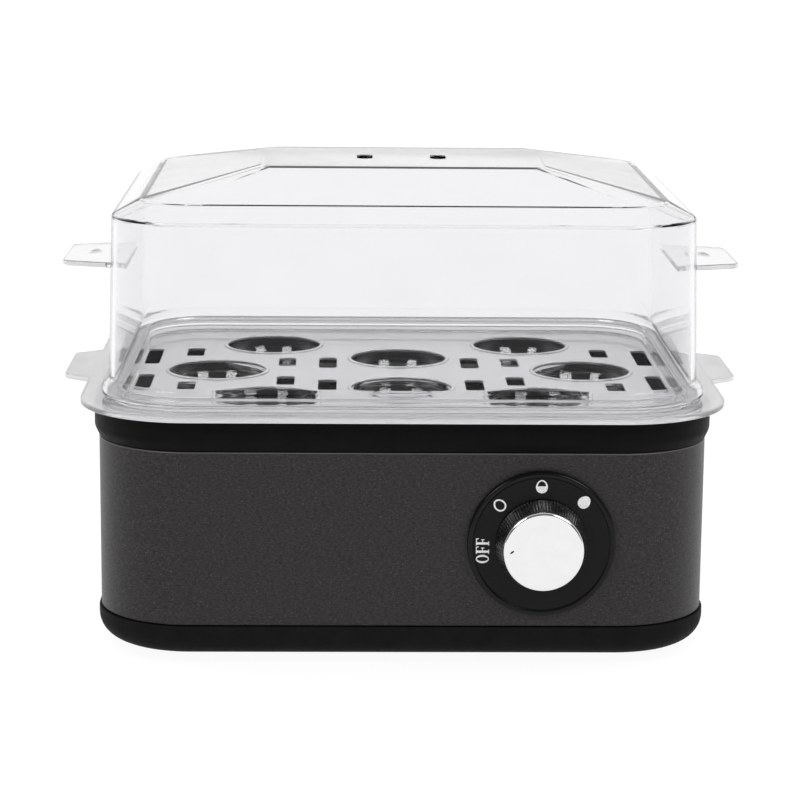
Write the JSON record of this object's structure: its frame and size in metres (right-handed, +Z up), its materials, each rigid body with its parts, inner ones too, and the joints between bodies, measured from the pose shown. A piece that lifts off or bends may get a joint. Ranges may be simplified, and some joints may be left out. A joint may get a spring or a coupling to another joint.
{
  "type": "egg cooker",
  "caption": "Tabletop egg cooker: painted steel base with a heated dish, clear egg tray with cups, clear lift-off lid, rotary dial.",
  "frame": {"origin": "on the surface it stands on, below the middle of the whole object's box", "axes": "+Z up, -Y towards the dial, +X to the right as seen from the dial side"},
  "size_m": [0.274, 0.2234, 0.1846],
  "materials": {
    "rubber": "matt moulded rubber",
    "black_plastic": "satin black moulding",
    "band_paint": "fine-speckled dark warm-grey metallic paint",
    "clear_plastic": "clear polished moulding",
    "plate_coating": "dark non-stick coating",
    "silicone": "matt silicone",
    "gloss_black": "glossy black moulding",
    "dark_chrome": "dark plated, finely fluted",
    "bright_chrome": "bright plated, flat",
    "resin": "pale heat-resistant resin",
    "steel": "plain plated steel"
  },
  "bodies": {
    "base": {"foot_front_left": "rubber", "foot_front_right": "rubber", "foot_rear_left": "rubber", "foot_rear_right": "rubber", "bottom_tray": "black_plastic", "case_screw_front_left": "steel", "case_screw_front_right": "steel", "case_screw_rear_left": "steel", "case_screw_rear_right": "steel", "housing_band": "band_paint", "top_collar": "black_plastic", "heating_plate": "plate_coating", "plate_seal": "silicone", "plate_clamp_front": "steel", "clamp_screw_front": "steel", "plate_clamp_right": "steel", "clamp_screw_right": "steel", "plate_clamp_rear": "steel", "clamp_screw_rear": "steel", "plate_clamp_left": "steel", "clamp_screw_left": "steel", "heating_element": "steel", "element_clip_left": "steel", "element_nut_left": "steel", "element_clip_right": "steel", "element_nut_right": "steel", "thermal_fuse": "steel", "fuse_clip": "steel", "fuse_nut": "steel", "thermostat": "resin", "thermostat_strap": "steel", "thermostat_nut_left": "steel", "thermostat_nut_right": "steel", "rotary_control": "resin", "control_nut": "steel", "dial_bezel": "gloss_black", "cord_gland": "rubber", "terminal_block": "resin"},
    "knob": {"knob_body": "dark_chrome", "knob_cap": "bright_chrome", "control_shaft": "steel"},
    "egg_tray": {"egg_tray": "clear_plastic"},
    "lid": {"lid": "clear_plastic"}
  },
  "joints": [
    {"name": "knob_turn", "type": "hinge", "parent": "base", "child": "knob", "pos_m": [0.0526, -0.10085, 0.04796], "axis": [0, 1, 0], "range_deg": [0, 145]},
    {"name": "tray_lift", "type": "slide", "parent": "base", "child": "egg_tray", "axis": [0, 0, 1], "range_m": [0, 0.06]},
    {"name": "lid_lift", "type": "slide", "parent": "egg_tray", "child": "lid", "axis": [0, 0, 1], "range_m": [0, 0.11]}
  ]
}
